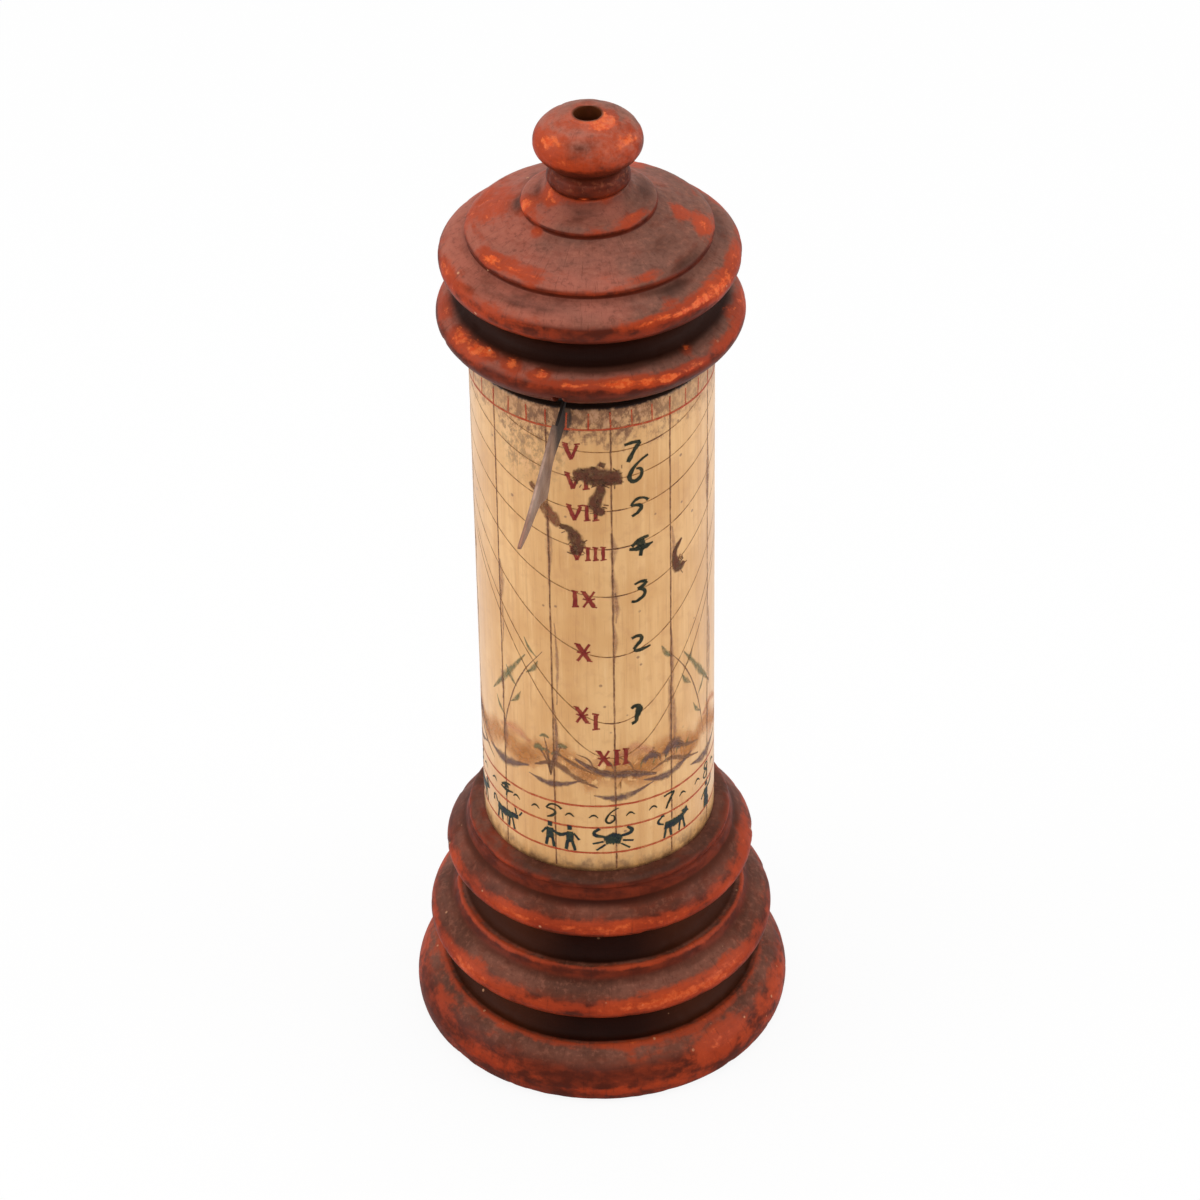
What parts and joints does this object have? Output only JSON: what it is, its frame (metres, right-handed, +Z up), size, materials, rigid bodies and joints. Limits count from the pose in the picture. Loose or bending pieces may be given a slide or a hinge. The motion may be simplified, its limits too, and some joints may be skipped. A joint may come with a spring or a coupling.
{
  "type": "shepherd's dial",
  "caption": "Pillar sundial of turned wood: three-bead foot, drawn hour scale, lift-off domed head with a folding blade gnomon.",
  "frame": {"origin": "centre of the foot's underside, on the surface it stands on", "axes": "+Z up along the pillar's axis; the June line and the gnomon face -Y; +X to the right as the dial is read"},
  "size_m": [0.0528, 0.0669, 0.1449],
  "materials": {
    "stained_wood": "satin",
    "scale_wood": "satin",
    "bare_wood": "matte",
    "dark_leather": "matte",
    "aged_steel": "satin"
  },
  "bodies": {
    "pillar_body": {"foot": "stained_wood", "pillar": "scale_wood"},
    "washer_body": {"friction_washer": "dark_leather"},
    "head": {"cap": "stained_wood", "finial_knob": "stained_wood", "spigot": "bare_wood", "gnomon_pin": "aged_steel"},
    "blade": {"gnomon": "aged_steel"}
  },
  "joints": [
    {"name": "head_turn", "type": "hinge", "parent": "pillar_body", "child": "washer_body", "pos_m": [0, 0, 0.111], "axis": [0, 0, 1], "continuous": true},
    {"name": "head_lift", "type": "slide", "parent": "washer_body", "child": "head", "axis": [0, 0, 1], "range_m": [0, 0.062]},
    {"name": "gnomon_fold", "type": "hinge", "parent": "head", "child": "blade", "pos_m": [-0.00056, -0.00244, 0.1142], "axis": [0.9748, -0.2233, 0], "range_deg": [0, 80]}
  ],
  "couplings": [
    {"joint": "gnomon_fold", "follows": "head_lift", "rad_per_m": 22.492}
  ]
}
